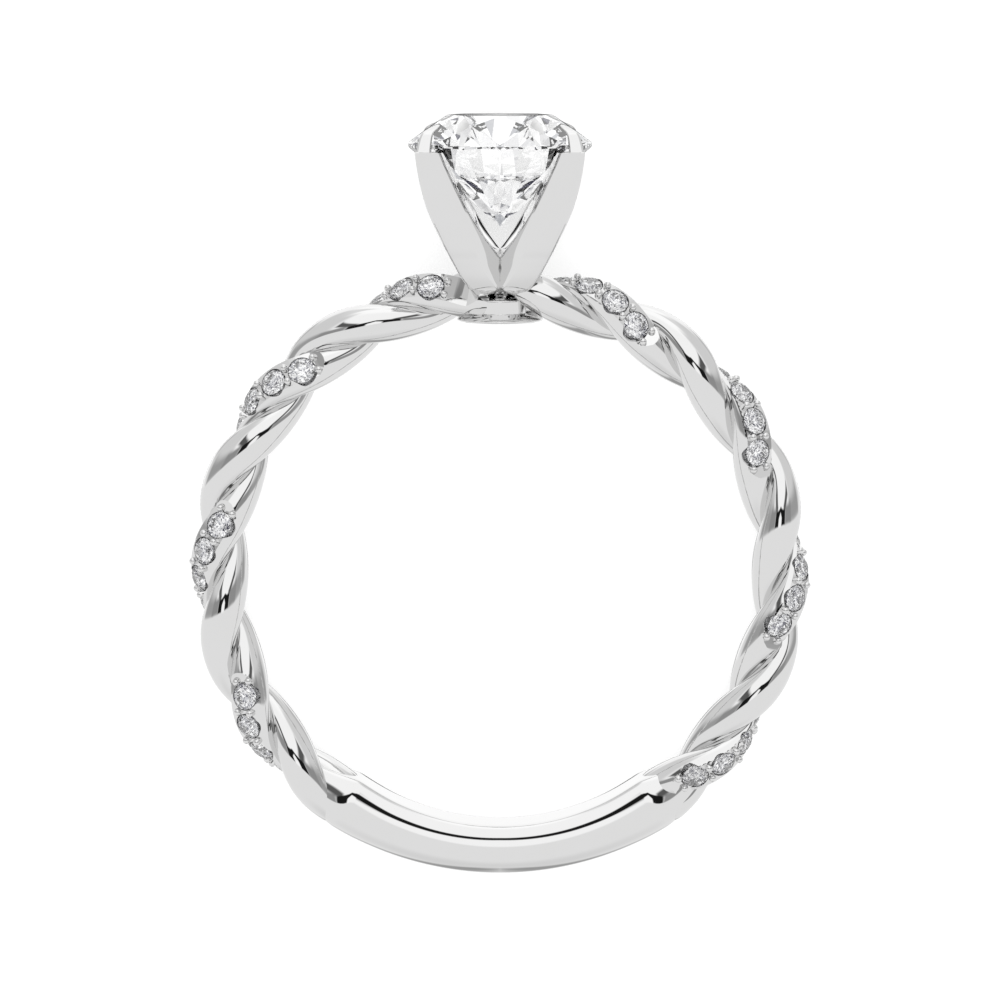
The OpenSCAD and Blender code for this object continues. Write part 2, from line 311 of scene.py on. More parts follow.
def strand_frame(s, t, lean=0.0):
    """Middle of the stone strand at the angle t, its direction, its side and the way that a seat faces."""
    a = rope_angle(s, t)
    out = out_of_rope(t, a)
    at = s.core_r * out_of_ring(t) + s.strand_offset * out
    along = ((s.core_r + s.strand_offset * math.sin(a)) * Vector((math.cos(t), -math.sin(t), 0))
             - s.twist_turns * s.strand_offset * round_rope(t, a)).normalized()
    face = math.cos(lean) * out + math.sin(lean) * out.cross(along)
    return at, along, face.cross(along), face


def face_angle(k):
    """The angle that stone k of a turn faces, in radians; k may lie between two stones."""
    k = min(max(k, 0), len(STONE_FACES) - 1)
    low = int(k)
    high = min(low + 1, len(STONE_FACES) - 1)
    return math.radians(mix(STONE_FACES[low], STONE_FACES[high], k - low))


def stone_angle(s, k):
    return s.accent_first + s.accent_step * k


def spot(s, turn, k):
    """Angle from the head of place k in a turn, and its seat's place and directions."""
    t = s.first_front + turn * s.turn_arc - stone_angle(s, k) / s.twist_turns
    at, along, side, face = strand_frame(s, t, face_angle(k) - stone_angle(s, k))
    return SimpleNamespace(t=t, at=at + s.accent_seat_h * face, along=along, side=side, face=face)


def rope_turns(s):
    half = math.ceil(s.twist_turns / 2)
    return range(-half, half + 1)


def head_arc(s, width):
    """Angle from the head within which nothing of this half width has room."""
    return math.asin(s.head_clear_r / s.core_r) + math.asin(width / s.core_r)


def spots(s, places, width):
    """These places of every turn, as far as the head and the lower band leave room for them."""
    head_edge = head_arc(s, width)
    found = [spot(s, turn, k) for turn in rope_turns(s) for k in places]
    return [p for p in found if head_edge < abs(p.t) < s.band_edge]


def stone_spots(s):
    return spots(s, range(len(STONE_FACES)), s.accent_d / 2)


def bead_spots(s):
    return spots(s, [k - 0.5 for k in range(len(STONE_FACES) + 1)], s.bead_d)


def seat_matrix(p):
    return Matrix.Translation(p.at) @ Matrix((p.along, p.side, p.face)).transposed().to_4x4()


def head_matrix(height, turned=0.0):
    """Stands a shape that is drawn along Z on the head's axis."""
    return (Matrix.Translation((0, height, 0)) @ Matrix.Rotation(-math.pi / 2, 4, "X")
            @ Matrix.Rotation(turned, 4, "Z"))


def mesh_object(name, bm):
    mesh = bpy.data.meshes.new(name)
    bm.to_mesh(mesh)
    bm.free()
    obj = bpy.data.objects.new(name, mesh)
    bpy.context.scene.collection.objects.link(obj)
    return obj


def solid_object(name, bm, material=None):
    """A closed shape whose faces all look outward."""
    bmesh.ops.recalc_face_normals(bm, faces=bm.faces)
    obj = mesh_object(name, bm)
    if material:
        obj.data.materials.append(material)
    return obj


def add_tube(bm, rings):
    """A closed tube through rings of points that have as many points each."""
    made = [[bm.verts.new(p) for p in ring] for ring in rings]
    n = len(made[0])
    for low, high in zip(made, made[1:]):
        for j in range(n):
            k = (j + 1) % n
            bm.faces.new((low[j], low[k], high[k], high[j]))
    bm.faces.new(made[0][::-1])
    bm.faces.new(made[-1])


def add_spun(bm, profile, sides, matrix=Matrix()):
    """A solid of revolution about Z from points of radius and height, the first and last on the axis."""
    low = bm.verts.new(matrix @ Vector((0, 0, profile[0][1])))
    high = bm.verts.new(matrix @ Vector((0, 0, profile[-1][1])))
    rings = [[bm.verts.new(matrix @ Vector((r * math.cos(math.tau * j / sides),
                                            r * math.sin(math.tau * j / sides), z)))
              for j in range(sides)] for r, z in profile[1:-1]]
    for j in range(sides):
        k = (j + 1) % sides
        bm.faces.new((low, rings[0][k], rings[0][j]))
        bm.faces.new((high, rings[-1][j], rings[-1][k]))
        for a, b in zip(rings, rings[1:]):
            bm.faces.new((a[j], a[k], b[k], b[j]))


def outward(obj):
    bm = bmesh.new()
    bm.from_mesh(obj.data)
    bmesh.ops.recalc_face_normals(bm, faces=bm.faces)
    bm.to_mesh(obj.data)
    bm.free()


def apply_modifiers(obj):
    """Puts the evaluated mesh in the object and drops its modifiers."""
    graph = bpy.context.evaluated_depsgraph_get()
    mesh = bpy.data.meshes.new_from_object(obj.evaluated_get(graph))
    old = obj.data
    obj.modifiers.clear()
    obj.data = mesh
    bpy.data.meshes.remove(old)


def cut(obj, cutter):
    """Cuts the cutter out of the object; the cut faces take the cutter's materials."""
    modifier = obj.modifiers.new("cut", "BOOLEAN")
    modifier.operation = "DIFFERENCE"
    modifier.solver = "EXACT"
    modifier.use_self = True
    modifier.material_mode = "TRANSFER"
    modifier.object = cutter
    apply_modifiers(obj)
    bpy.data.objects.remove(cutter)


def finish_piece(obj, slot, *nodes):
    """Lays the piece down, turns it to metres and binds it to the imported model."""
    obj.data.transform(LAID_DOWN @ Matrix.Scale(MM, 4))
    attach(obj, "root")
    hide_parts(*nodes)


# Node trees


class Nodes:
    """Adds the nodes of a tree one by one."""

    def __init__(self, tree):
        self.tree = tree

    def add(self, kind, values=(), **settings):
        node = self.tree.nodes.new(kind)
        for key, value in settings.items():
            setattr(node, key, value)
        self.feed(node, values)
        return node

    def feed(self, node, values):
        """Gives inputs of the node a value or links them to a socket."""
        for key, value in dict(values).items():
            if isinstance(value, bpy.types.NodeSocket):
                self.tree.links.new(value, node.inputs[key])
            else:
                node.inputs[key].default_value = value

    def math(self, operation, *values):
        return self.add("ShaderNodeMath", dict(enumerate(values)), operation=operation).outputs[0]

    def vector(self, x, y, z):
        return self.add("ShaderNodeCombineXYZ", {"X": x, "Y": y, "Z": z}).outputs[0]

    def scaled(self, vector, factor):
        return self.add("ShaderNodeVectorMath", {0: vector, "Scale": factor}, operation="SCALE").outputs[0]

    def sum(self, a, b):
        return self.add("ShaderNodeVectorMath", {0: a, 1: b}, operation="ADD").outputs[0]

    def ramp(self, value, low, high, at_low=0.0, at_high=1.0):
        return self.add("ShaderNodeMapRange", {"Value": value, "From Min": low, "From Max": high,
                                               "To Min": at_low, "To Max": at_high},
                        interpolation_type="SMOOTHSTEP").outputs[0]


class ShapeNodes(Nodes):
    """A Geometry Nodes tree with named inputs."""

    def __init__(self, name, inputs):
        super().__init__(bpy.data.node_groups.new(name, "GeometryNodeTree"))
        sockets = self.tree.interface
        sockets.new_socket("Geometry", in_out="OUTPUT", socket_type="NodeSocketGeometry")
        for label, kind in {"Geometry": "Geometry", **inputs}.items():
            sockets.new_socket(label, in_out="INPUT", socket_type="NodeSocket" + kind)
        self.given = self.add("NodeGroupInput").outputs

    def close(self, geometry, material):
        real = self.add("GeometryNodeRealizeInstances", {"Geometry": geometry}).outputs[0]
        done = self.add("GeometryNodeSetMaterial", {"Geometry": real, "Material": material}).outputs[0]
        self.add("NodeGroupOutput", {0: done})
        return self.tree


def run_tree(obj, group, values):
    """Runs a tree on an object with the named values and keeps the result as its mesh."""
    modifier = obj.modifiers.new(group.name, "NODES")
    modifier.node_group = group
    for item in group.interface.items_tree:
        if item.in_out == "INPUT" and item.name in values:
            modifier[item.identifier] = values[item.name]
    apply_modifiers(obj)


def strand_tree():
    """A strand that winds round the core of the rope, with an oval section that follows the winding."""
    name = "Wound strand"
    if name in bpy.data.node_groups:
        return bpy.data.node_groups[name]
    lengths = ("Core radius", "Offset", "Thickness", "Width", "Turns", "First front", "Phase", "Reach",
               "Joins from")
    tree = ShapeNodes(name, {**dict.fromkeys(lengths, "Float"), "Rings": "Int", "Sides": "Int",
                             "Material": "Material"})
    given = tree.given
    line = tree.add("GeometryNodeCurvePrimitiveLine").outputs[0]
    path = tree.add("GeometryNodeResampleCurve", {"Curve": line, "Count": given["Rings"]}).outputs[0]
    index = tree.add("GeometryNodeInputIndex").outputs[0]
    last = tree.math("SUBTRACT", given["Rings"], 1.0)
    share = tree.math("DIVIDE", index, last)
    full = tree.math("MULTIPLY", given["Reach"], 2.0)
    t = tree.math("SUBTRACT", tree.math("MULTIPLY", share, full), given["Reach"])
    behind = tree.math("SUBTRACT", given["First front"], t)
    a = tree.math("ADD", tree.math("MULTIPLY", behind, given["Turns"]), given["Phase"])
    radial = tree.vector(tree.math("SINE", t), tree.math("COSINE", t), 0.0)
    front = tree.vector(0.0, 0.0, tree.math("COSINE", a))
    out = tree.sum(tree.scaled(radial, tree.math("SINE", a)), front)
    core = tree.scaled(radial, given["Core radius"])
    into_band = tree.ramp(tree.math("ABSOLUTE", t), given["Joins from"], given["Reach"], 1.0, END_OFFSET)
    offset = tree.math("MULTIPLY", given["Offset"], into_band)
    place = tree.sum(core, tree.scaled(out, offset))
    wound = tree.add("GeometryNodeSetPosition", {"Geometry": path, "Position": place}).outputs[0]
    turned = tree.add("GeometryNodeSetCurveNormal", {"Curve": wound, "Normal": out}, mode="FREE").outputs[0]
    circle = tree.add("GeometryNodeCurvePrimitiveCircle", {"Resolution": given["Sides"], "Radius": 0.5})
    size = tree.vector(given["Thickness"], given["Width"], 1.0)
    oval = tree.add("GeometryNodeTransform", {"Geometry": circle.outputs[0], "Scale": size}).outputs[0]
    swept = tree.add("GeometryNodeCurveToMesh",
                     {"Curve": turned, "Profile Curve": oval, "Fill Caps": True}).outputs[0]
    return tree.close(swept, given["Material"])


def copies_tree():
    """Copies of one part, stood on the points of a mesh by their turning."""
    name = "Set on points"
    if name in bpy.data.node_groups:
        return bpy.data.node_groups[name]
    tree = ShapeNodes(name, {"Part": "Object", "Material": "Material"})
    part = tree.add("GeometryNodeObjectInfo", {"Object": tree.given["Part"], "As Instance": True})
    turning = tree.add("GeometryNodeInputNamedAttribute", {"Name": "turning"}, data_type="FLOAT_VECTOR")
    copies = tree.add("GeometryNodeInstanceOnPoints",
                      {"Points": tree.given["Geometry"], "Instance": part.outputs["Geometry"],
                       "Rotation": turning.outputs[0]})
    return tree.close(copies.outputs[0], tree.given["Material"])


def set_on_points(name, part, matrices, material):
    """A piece made of copies of one part, one for each matrix."""
    bm = bmesh.new()
    for matrix in matrices:
        bm.verts.new(matrix.translation)
    obj = mesh_object(name, bm)
    turning = obj.data.attributes.new("turning", "FLOAT_VECTOR", "POINT")
    for row, matrix in zip(turning.data, matrices):
        row.vector = matrix.to_euler()
    run_tree(obj, copies_tree(), {"Part": part, "Material": material})
    bpy.data.objects.remove(part)
    return obj


# Materials


def new_material(name):
    """A new material, its nodes and its shader."""
    material = bpy.data.materials.new(name)
    material.use_nodes = True
    return material, Nodes(material.node_tree), material.node_tree.nodes["Principled BSDF"]


def polished_gold(name, base, low, high, scratch):
    """White gold whose polish varies a little, with the finest lines of the polishing wheel."""
    if name in bpy.data.materials:
        return bpy.data.materials[name]
    material, nodes, shader = new_material(name)
    warmer = (base[0] * 0.985, base[1] * 0.982, base[2] * 0.975)
    place = nodes.add("ShaderNodeTexCoord").outputs["Object"]
    haze = nodes.add("ShaderNodeTexNoise", {"Vector": place, "Scale": 900, "Detail": 3}).outputs[0]
    polish = nodes.add("ShaderNodeMapRange", {"Value": haze, "To Min": low, "To Max": high}).outputs[0]
    tone = nodes.add("ShaderNodeMix", {0: haze, 6: (*base, 1), 7: (*warmer, 1)}, data_type="RGBA").outputs[2]
    stretched = nodes.add("ShaderNodeMapping", {"Vector": place, "Scale": (1, 1, 0.12)}).outputs[0]
    lines = nodes.add("ShaderNodeTexNoise", {"Vector": stretched, "Scale": 14000}).outputs[0]
    bump = nodes.add("ShaderNodeBump", {"Strength": scratch, "Distance": 0.000002,
                                        "Height": lines}).outputs[0]
    nodes.feed(shader, {"Metallic": 1.0, "Roughness": polish, "Base Color": tone, "Normal": bump})
    return material


def bright_gold():
    return polished_gold("polished_white_gold", bpy.context.scene.finish.gold, 0.015, 0.035, 0.02)


# The seats' cut faces: a rougher cut finish, and a colour darkened as painted shade under the small stones
def seat_gold_painted_shade():
    return polished_gold("cut_white_gold", bpy.context.scene.finish.seat, 0.10, 0.22, 0.15)


def diamond(name, spread):
    """Clear diamond with the slightest haze in its polish."""
    material, nodes, shader = new_material(name)
    place = nodes.add("ShaderNodeTexCoord").outputs["Object"]
    haze = nodes.add("ShaderNodeTexNoise", {"Vector": place, "Scale": 2500}).outputs[0]
    polish = nodes.add("ShaderNodeMapRange", {"Value": haze, "From Min": 0.55, "From Max": 0.9,
                                              "To Max": spread}).outputs[0]
    nodes.feed(shader, {"Base Color": (*bpy.context.scene.finish.stone, 1), "Transmission Weight": 1.0,
                        "IOR": 2.417, "Roughness": polish})
    return material


# Pieces


def wound_strand(name, s, phase, material):
    """One strand of the rope, with room cut into it for the barrel of the head base."""
    obj = mesh_object(name, bmesh.new())
    rings = round(2 * s.rope_reach / s.turn_arc * RINGS_PER_TURN)
    run_tree(obj, strand_tree(), {
        "Core radius": s.core_r, "Offset": s.strand_offset, "Thickness": s.strand_t, "Width": s.strand_w,
        "Turns": float(s.twist_turns), "First front": s.first_front, "Phase": phase,
        "Reach": s.rope_reach, "Joins from": s.band_edge, "Rings": rings,
        "Sides": STRAND_SIDES, "Material": material})
    outward(obj)
    cut(obj, head_room(s))
    return obj


def smooth_except(obj, degrees):
    for face in obj.data.polygons:
        face.use_smooth = True
    obj.data.set_sharp_from_angle(angle=math.radians(degrees))


def head_room(s):
    """Room for the barrel of the head base between the ends of the strands."""
    bm = bmesh.new()
    r = BARREL_ROOM * s.base_d
    top = s.base_h + 2 * s.rope_r
    add_spun(bm, [(0, 0), (r, 0), (r, top), (0, top)], ROOM_SIDES, head_matrix(s.finger_r - ROOM_BELOW))
    return solid_object("head_room", bm)


class RING_OT_plain_strand(Operator):
    """Winds the plain polished strand"""

    bl_idname = "ring.plain_strand"
    bl_label = "Plain strand"

    def execute(self, context):
        s = ring_sizes()
        obj = wound_strand("plain_strand", s, math.pi, bright_gold())
        smooth_except(obj, 40)
        finish_piece(obj, "white_gold", "ring_mount")
        return {"FINISHED"}


def flat_cutter(s):
    """What is cut away above the flats of the stone strand, one sweep for each turn of the rope."""
    bm = bmesh.new()
    last = len(STONE_FACES) - 1
    for turn in rope_turns(s):
        middle = s.first_front + turn * s.turn_arc - stone_angle(s, last / 2) / s.twist_turns
        if abs(middle) > s.band_edge + s.turn_arc / 3:
            continue
        rings = []
        for i in range(FLAT_STEPS + 1):
            k = mix(-FLAT_PAST, last + FLAT_PAST, i / FLAT_STEPS)
            beyond = max(0, -FLAT_LEVEL_PAST - k, k - last - FLAT_LEVEL_PAST)
            p = spot(s, turn, k)
            rise = FLAT_RISE * beyond + FLAT_RISE_AT_HEAD * max(0, head_arc(s, 0) - abs(p.t))
            low = p.at + (s.flat_h + rise) * p.face
            half = FLAT_HALF_W * p.side
            rings.append([low + half, low - half, low - half + p.face, low + half + p.face])
        add_tube(bm, rings)
    return solid_object("flat_cutter", bm, bright_gold())


def seat_cutter(s):
    """The bored seats of the small stones, each opened towards the finger hole."""
    bm = bmesh.new()
    r = s.accent_d / 2 + s.stone_gap
    low = -s.accent_girdle_t / 2 - s.stone_gap
    point = low - s.accent_pavilion_h
    bored = [(0, point), (DRILL_POINT_R, point), (r, low), (r, SEAT_CUT_H), (0, SEAT_CUT_H)]
    opened_r = r - OPENED_INSET
    floor = low - OPENED_DEPTH
    opened = [(0, floor), (opened_r, floor), (opened_r, SEAT_CUT_H), (0, SEAT_CUT_H)]
    for p in stone_spots(s):
        add_spun(bm, bored, SEAT_SIDES, seat_matrix(p))
        inward = -out_of_ring(p.t)
        inward = (inward - inward.dot(p.face) * p.face).normalized()
        add_spun(bm, opened, SEAT_SIDES, Matrix.Translation(s.seat_open * inward) @ seat_matrix(p))
    # The cut faces take the seat gold, whose darker colour is painted shade under the small stones
    return solid_object("seat_cutter", bm, seat_gold_painted_shade())


class RING_OT_stone_strand(Operator):
    """Winds the strand that holds the small stones and cuts its flats and seats"""

    bl_idname = "ring.stone_strand"
    bl_label = "Stone strand"

    def execute(self, context):
        s = ring_sizes()
        obj = wound_strand("stone_strand", s, 0.0, bright_gold())
        cut(obj, flat_cutter(s))
        cut(obj, seat_cutter(s))
        smooth_except(obj, 28)
        finish_piece(obj, "white_gold", "ring_mount")
        return {"FINISHED"}


def band_section(half_t, half_w, half_flat, points=20):
    """Section of the lower band as outward and along the finger axis: round outside, flat inside."""
    outer = [(half_t * math.sin(math.pi * i / (2 * points)), half_w * math.cos(math.pi * i / (2 * points)))
             for i in range(2 * points + 1)]
    inner = [(-half_t * math.sin(math.pi / 2 * i / points),
              -half_flat - (half_w - half_flat) * math.cos(math.pi / 2 * i / points))
             for i in range(1, points + 1)]
    flat = [(-half_t, mix(-half_flat, half_flat, i / 6)) for i in range(1, 6)]
    back = [(x, -z) for x, z in reversed(inner)]
    return outer + inner + flat + back


class RING_OT_lower_band(Operator):
    """Sweeps the plain lower band"""

    bl_idname = "ring.lower_band"
    bl_label = "Lower band"

    def execute(self, context):
        s = ring_sizes()
        start = s.band_edge - BAND_BEFORE
        rings = []
        for i in range(BAND_STEPS + 1):
            t = mix(start, math.tau - start, i / BAND_STEPS)
            side = min(t, math.tau - t)
            along = max(0, (side - s.band_edge) / (math.pi - s.band_edge))
            share = math.sin(math.pi / 2 * along) * smooth_step(BAND_EASE * along)
            half_t = mix(s.rope_r, s.band_t / 2, share)
            middle = s.finger_r + s.band_set_back * share + half_t
            full = mix(BAND_START_SIZE, 1, smooth_step((side - start) / BAND_GROWTH))
            rings.append([(middle + full * x) * out_of_ring(t) + full * z * UP
                          for x, z in band_section(half_t, s.band_w / 2, s.band_flat_w / 2)])
        bm = bmesh.new()
        add_tube(bm, rings)
        obj = solid_object("lower_band", bm, bright_gold())
        smooth_except(obj, 35)
        finish_piece(obj, "white_gold", "ring_mount")
        return {"FINISHED"}


class RING_OT_head_base(Operator):
    """Turns the base of the head, which stands in the shank"""

    bl_idname = "ring.head_base"
    bl_label = "Head base"

    def execute(self, context):
        s = ring_sizes()
        profile = [(r * s.base_d, h * s.base_h) for r, h in BASE_PROFILE]
        bm = bmesh.new()
        add_spun(bm, profile, HEAD_SIDES, head_matrix(s.finger_r))
        obj = solid_object("head_base", bm, bright_gold())
        bevel = obj.modifiers.new("soft edges", "BEVEL")
        bevel.width = BASE_EDGE
        bevel.segments = 3
        bevel.limit_method = "ANGLE"
        bevel.angle_limit = math.radians(25)
        apply_modifiers(obj)
        smooth_except(obj, 35)
        finish_piece(obj, "white_gold", "ring_mount")
        return {"FINISHED"}


def spline(rows, count):
    """Rows of numbers along a smooth curve through the given rows."""
    made = []
    last = len(rows) - 1
    for i in range(count + 1):
        at = last * i / count
        k = min(int(at), last - 1)
        u = at - k
        before, a, b, after = (rows[max(k - 1, 0)], rows[k], rows[k + 1], rows[min(k + 2, last)])
        made.append([0.5 * (2 * q + (r - p) * u + (2 * p - 5 * q + 4 * r - w) * u * u
                            + (3 * q - p - 3 * r + w) * u ** 3)
                     for p, q, r, w in zip(before, a, b, after)])
    return made


def rounded(corners, share, points=5):
    """A closed outline with its corners rounded by a share of their shorter side."""
    made = []
    for before, corner, after in zip(corners[-1:] + corners[:-1], corners, corners[1:] + corners[:1]):
        reach = share * min((before - corner).length, (after - corner).length)
        start = corner + reach * (before - corner).normalized()
        end = corner + reach * (after - corner).normalized()
        for i in range(points):
            u = i / (points - 1)
            made.append((1 - u) ** 2 * start + 2 * u * (1 - u) * corner + u ** 2 * end)
    return made


def prong_section(height, outer, gap, crease, claw):
    """Outline of a prong at one height: a corner of a square with its web faces, or a round claw."""
    web = outer - max(crease - gap, 0)
    deep = gap if claw else max(gap - WALL_LEAN * (web - gap), -PRONG_LAP)
    corners = [(outer, outer), (crease, outer), (gap, web), (deep, deep), (web, gap), (outer, crease)]
    points = rounded([Vector((x, y, height)) for x, y in corners], PRONG_ROUNDING)
    if not claw:
        return points
    middle = Vector(((outer + gap) / 2, (outer + gap) / 2, height))
    return [middle + (outer - gap) / 2 * (p - middle).normalized() for p in points]


def prong_rows(s):
    """Sections of a prong as height, outer face, gap, crease and whether they are the claw's."""
    rows = []
    for share, outer, gap, crease in spline(PRONG_PATH, PRONG_STEPS):
        face = outer * s.centre_r
        rows.append([mix(s.base_top, s.girdle_y, share), face, max(gap * face, -PRONG_LAP), crease * face,
                     False])
    foot = rows[-1][1]
    tip = (s.centre_r - s.claw_reach) * math.sqrt(0.5) + CLAW_TIP
    for share, reach, width in spline(CLAW_PATH, CLAW_STEPS):
        wide = s.prong_tip_w * width
        face = mix(foot + CLAW_FOOT, tip + wide / 2, reach)
        rows.append([s.girdle_y + s.claw_h * share, face, face - wide, face - CLAW_DEPTH * wide, True])
    return rows


def centre_seat(s):
    """The room of the centre stone and its gap, which is cut out of the prongs."""
    bm = bmesh.new()
    r = s.centre_r + s.stone_gap
    low = s.girdle_t / 2 + s.stone_gap
    add_spun(bm, [(0, -low - s.pavilion_h), (r, -low), (r, low),
                  (s.table_d / 2 + s.stone_gap, low + s.crown_h), (0, low + s.crown_h)], HEAD_SIDES,
             head_matrix(s.girdle_y))
    return solid_object("centre_seat", bm, bright_gold())


class RING_OT_head_prongs(Operator):
    """Bends one prong with its claw and sets it four times round the head"""

    bl_idname = "ring.head_prongs"
    bl_label = "Prongs"

    def execute(self, context):
        s = ring_sizes()
        rings = [prong_section(*row) for row in prong_rows(s)]
        bm = bmesh.new()
        add_tube(bm, rings)
        prong = solid_object("prong", bm)
        matrices = [head_matrix(0, math.radians(turned)) for turned in (0, 90, 180, 270)]
        obj = set_on_points("head_prongs", prong, matrices, bright_gold())
        cut(obj, centre_seat(s))
        smooth_except(obj, 24)
        finish_piece(obj, "white_gold", "ring_mount")
        return {"FINISHED"}


class RING_OT_bead_prongs(Operator):
    """Sets the pairs of bead prongs between the small stones"""

    bl_idname = "ring.bead_prongs"
    bl_label = "Bead prongs"

    def execute(self, context):
        s = ring_sizes()
        r = s.bead_d / 2
        bends = [math.pi / 2 * i / BEAD_STEPS for i in range(BEAD_STEPS)]
        dome = [(r * math.cos(a), s.bead_h - r + r * math.sin(a)) for a in bends]
        bm = bmesh.new()
        add_spun(bm, [(0, BEAD_FOOT), (r, BEAD_FOOT)] + dome + [(0, s.bead_h)], BEAD_SIDES)
        bead = solid_object("bead", bm)
        matrices = []
        for p in bead_spots(s):
            for way in (-1, 1):
                matrix = seat_matrix(p)
                matrix.translation += way * s.bead_gap / 2 * p.side
                matrices.append(matrix)
        obj = set_on_points("bead_prongs", bead, matrices, bright_gold())
        smooth_except(obj, 50)
        finish_piece(obj, "white_gold", "ring_mount")
        return {"FINISHED"}


def cut_by_plane(bm, turned, slope, radius, height):
    """Grinds one facet: a plane with the given slope through a point at the angle turned."""
    round_way = Vector((math.cos(turned), math.sin(turned), 0))
    normal = math.sin(slope) * round_way + math.cos(slope) * UP
    cut_all(bm, radius * round_way + height * UP, normal)


def cut_all(bm, at, normal):
    made = bmesh.ops.bisect_plane(bm, geom=bm.verts[:] + bm.edges[:] + bm.faces[:], plane_co=at,
                                  plane_no=normal, dist=1e-5, clear_outer=True)
    edges = [e for e in made["geom_cut"] if isinstance(e, bmesh.types.BMEdge)]
    if edges:
        bmesh.ops.contextual_create(bm, geom=edges)


def brilliant(r, table_r, crown_slope, girdle_t, pavilion_slope, sides):
    """Round brilliant along Z: 33 facets above the girdle, 24 below and a scalloped girdle."""
    bm = bmesh.new()
    top = girdle_t / 2
    crown_h = (r - table_r) * math.tan(crown_slope)
    deep = r * math.tan(pavilion_slope)
    add_spun(bm, [(0, -deep - r), (r, -deep - r), (r, crown_h + r), (0, crown_h + r)], sides)
    step = math.tau / TABLE_SIDES
    half, quarter = math.cos(step / 2), math.cos(step / 4)

    def halves_slope(inner_r, slope):
        return math.atan((r - inner_r * half) * math.tan(slope) / ((r - inner_r) * quarter))

    star_r = mix(table_r, r, STAR_SHARE)
    star_h = top + (r - star_r * half) * math.tan(crown_slope)
    star_slope = math.atan((top + crown_h - star_h) / (star_r - table_r * half))
    upper = halves_slope(star_r, crown_slope)
    lower = halves_slope(LOWER_HALVES_R * r, pavilion_slope)
    scallop = r * (1 - quarter)
    for i in range(TABLE_SIDES):
        turned = step * i
        cut_by_plane(bm, turned, crown_slope, r, top)
        cut_by_plane(bm, turned + step / 2, star_slope, star_r, star_h)
        cut_by_plane(bm, turned, math.pi - pavilion_slope, r, -top)
        for way in (-1, 1):
            side = turned + way * step / 4
            cut_by_plane(bm, side, upper, r, top - scallop * math.tan(upper))
            cut_by_plane(bm, side, math.pi - lower, r, -top + scallop * math.tan(lower))
    cut_all(bm, Vector((0, 0, top + crown_h)), UP)
    bmesh.ops.recalc_face_normals(bm, faces=bm.faces)
    return bm


class RING_OT_centre_stone(Operator):
    """Cuts the centre stone as a full brilliant"""

    bl_idname = "ring.centre_stone"
    bl_label = "Centre stone"

    def execute(self, context):
        s = ring_sizes()
        bm = brilliant(s.centre_r, s.table_d / 2, s.crown_angle, s.girdle_t, s.pavilion_angle,
                       HEAD_SIDES)
        bm.transform(head_matrix(s.girdle_y))
        obj = mesh_object("centre_diamond", bm)
        obj.data.materials.append(diamond("clear_centre_diamond", 0.004))
        finish_piece(obj, "centre_diamond", "centre_stone")
        return {"FINISHED"}


class RING_OT_small_stones(Operator):
    """Sets the small stones along their strand"""

    bl_idname = "ring.small_stones"
    bl_label = "Small stones"

    def execute(self, context):
        s = ring_sizes()
        r = s.accent_d / 2
        crown = math.atan(s.accent_crown_h / (r - s.accent_table_d / 2))
        pavilion = math.atan(s.accent_pavilion_h / r)
        part = mesh_object("small_brilliant",
                           brilliant(r, s.accent_table_d / 2, crown, s.accent_girdle_t, pavilion,
                                     SMALL_STONE_SIDES))
        places = stone_spots(s)
        matrices = [seat_matrix(p) @ Matrix.Rotation(STONE_TURN * i, 4, "Z") for i, p in enumerate(places)]
        obj = set_on_points("small_diamonds", part, matrices, diamond("clear_small_diamond", 0.01))
        nodes = [name for name in frame["nodes"] if name.startswith("accent_stone")]
        finish_piece(obj, "accent_diamond", *nodes)
        return {"FINISHED"}


# Stage


# The studio round the ring as soft cards, each laid over those before it. A card spans angles to either
# side of the camera and heights above the studio's ground, all in degrees, and both edges rise with each
# degree to the side: side from, side to, low, high, rise of low, rise of high, softness and brightness
CARDS = (
    (0, 180, 58, 95, 0.0, 0.0, 10.0, 1.30),
    (76, 128, 45, 86, 0.0, 0.0, 14.0, 0.92),
    (50, 136, -2, 60, 0.0, 0.0, 10.0, 0.80),
    (132, 150, 10, 30, 0.0, 0.0, 4.0, 0.6),
    (52, 116, -5, 15, 0.0, 0.0, 7.0, 0.42),
    (26, 60, -4, 14, 0.0, 0.0, 4.0, 0.34),
    (17, 46, 4, 14, 0.62, 0.8, 3.0, 0.12),
    (7.5, 26, -3, 12, 0.0, -0.1, 1.5, 0.012),
    (0, 12, 9.5, 15, -0.7, -0.4, 1.0, 0.012),
    (0, 180, -95, -3.5, 0.0, 0.0, 1.5, 0.96),
    (0, 180, -95, -66, 0.0, 0.0, 14.0, 0.84),
    (158, 180, -80, -38, 0.0, 0.0, 8.0, 0.4),
    (166, 180, -9, 4, 0.0, 0.0, 1.2, 0.015),
)
SKY_LEVEL = 1.18


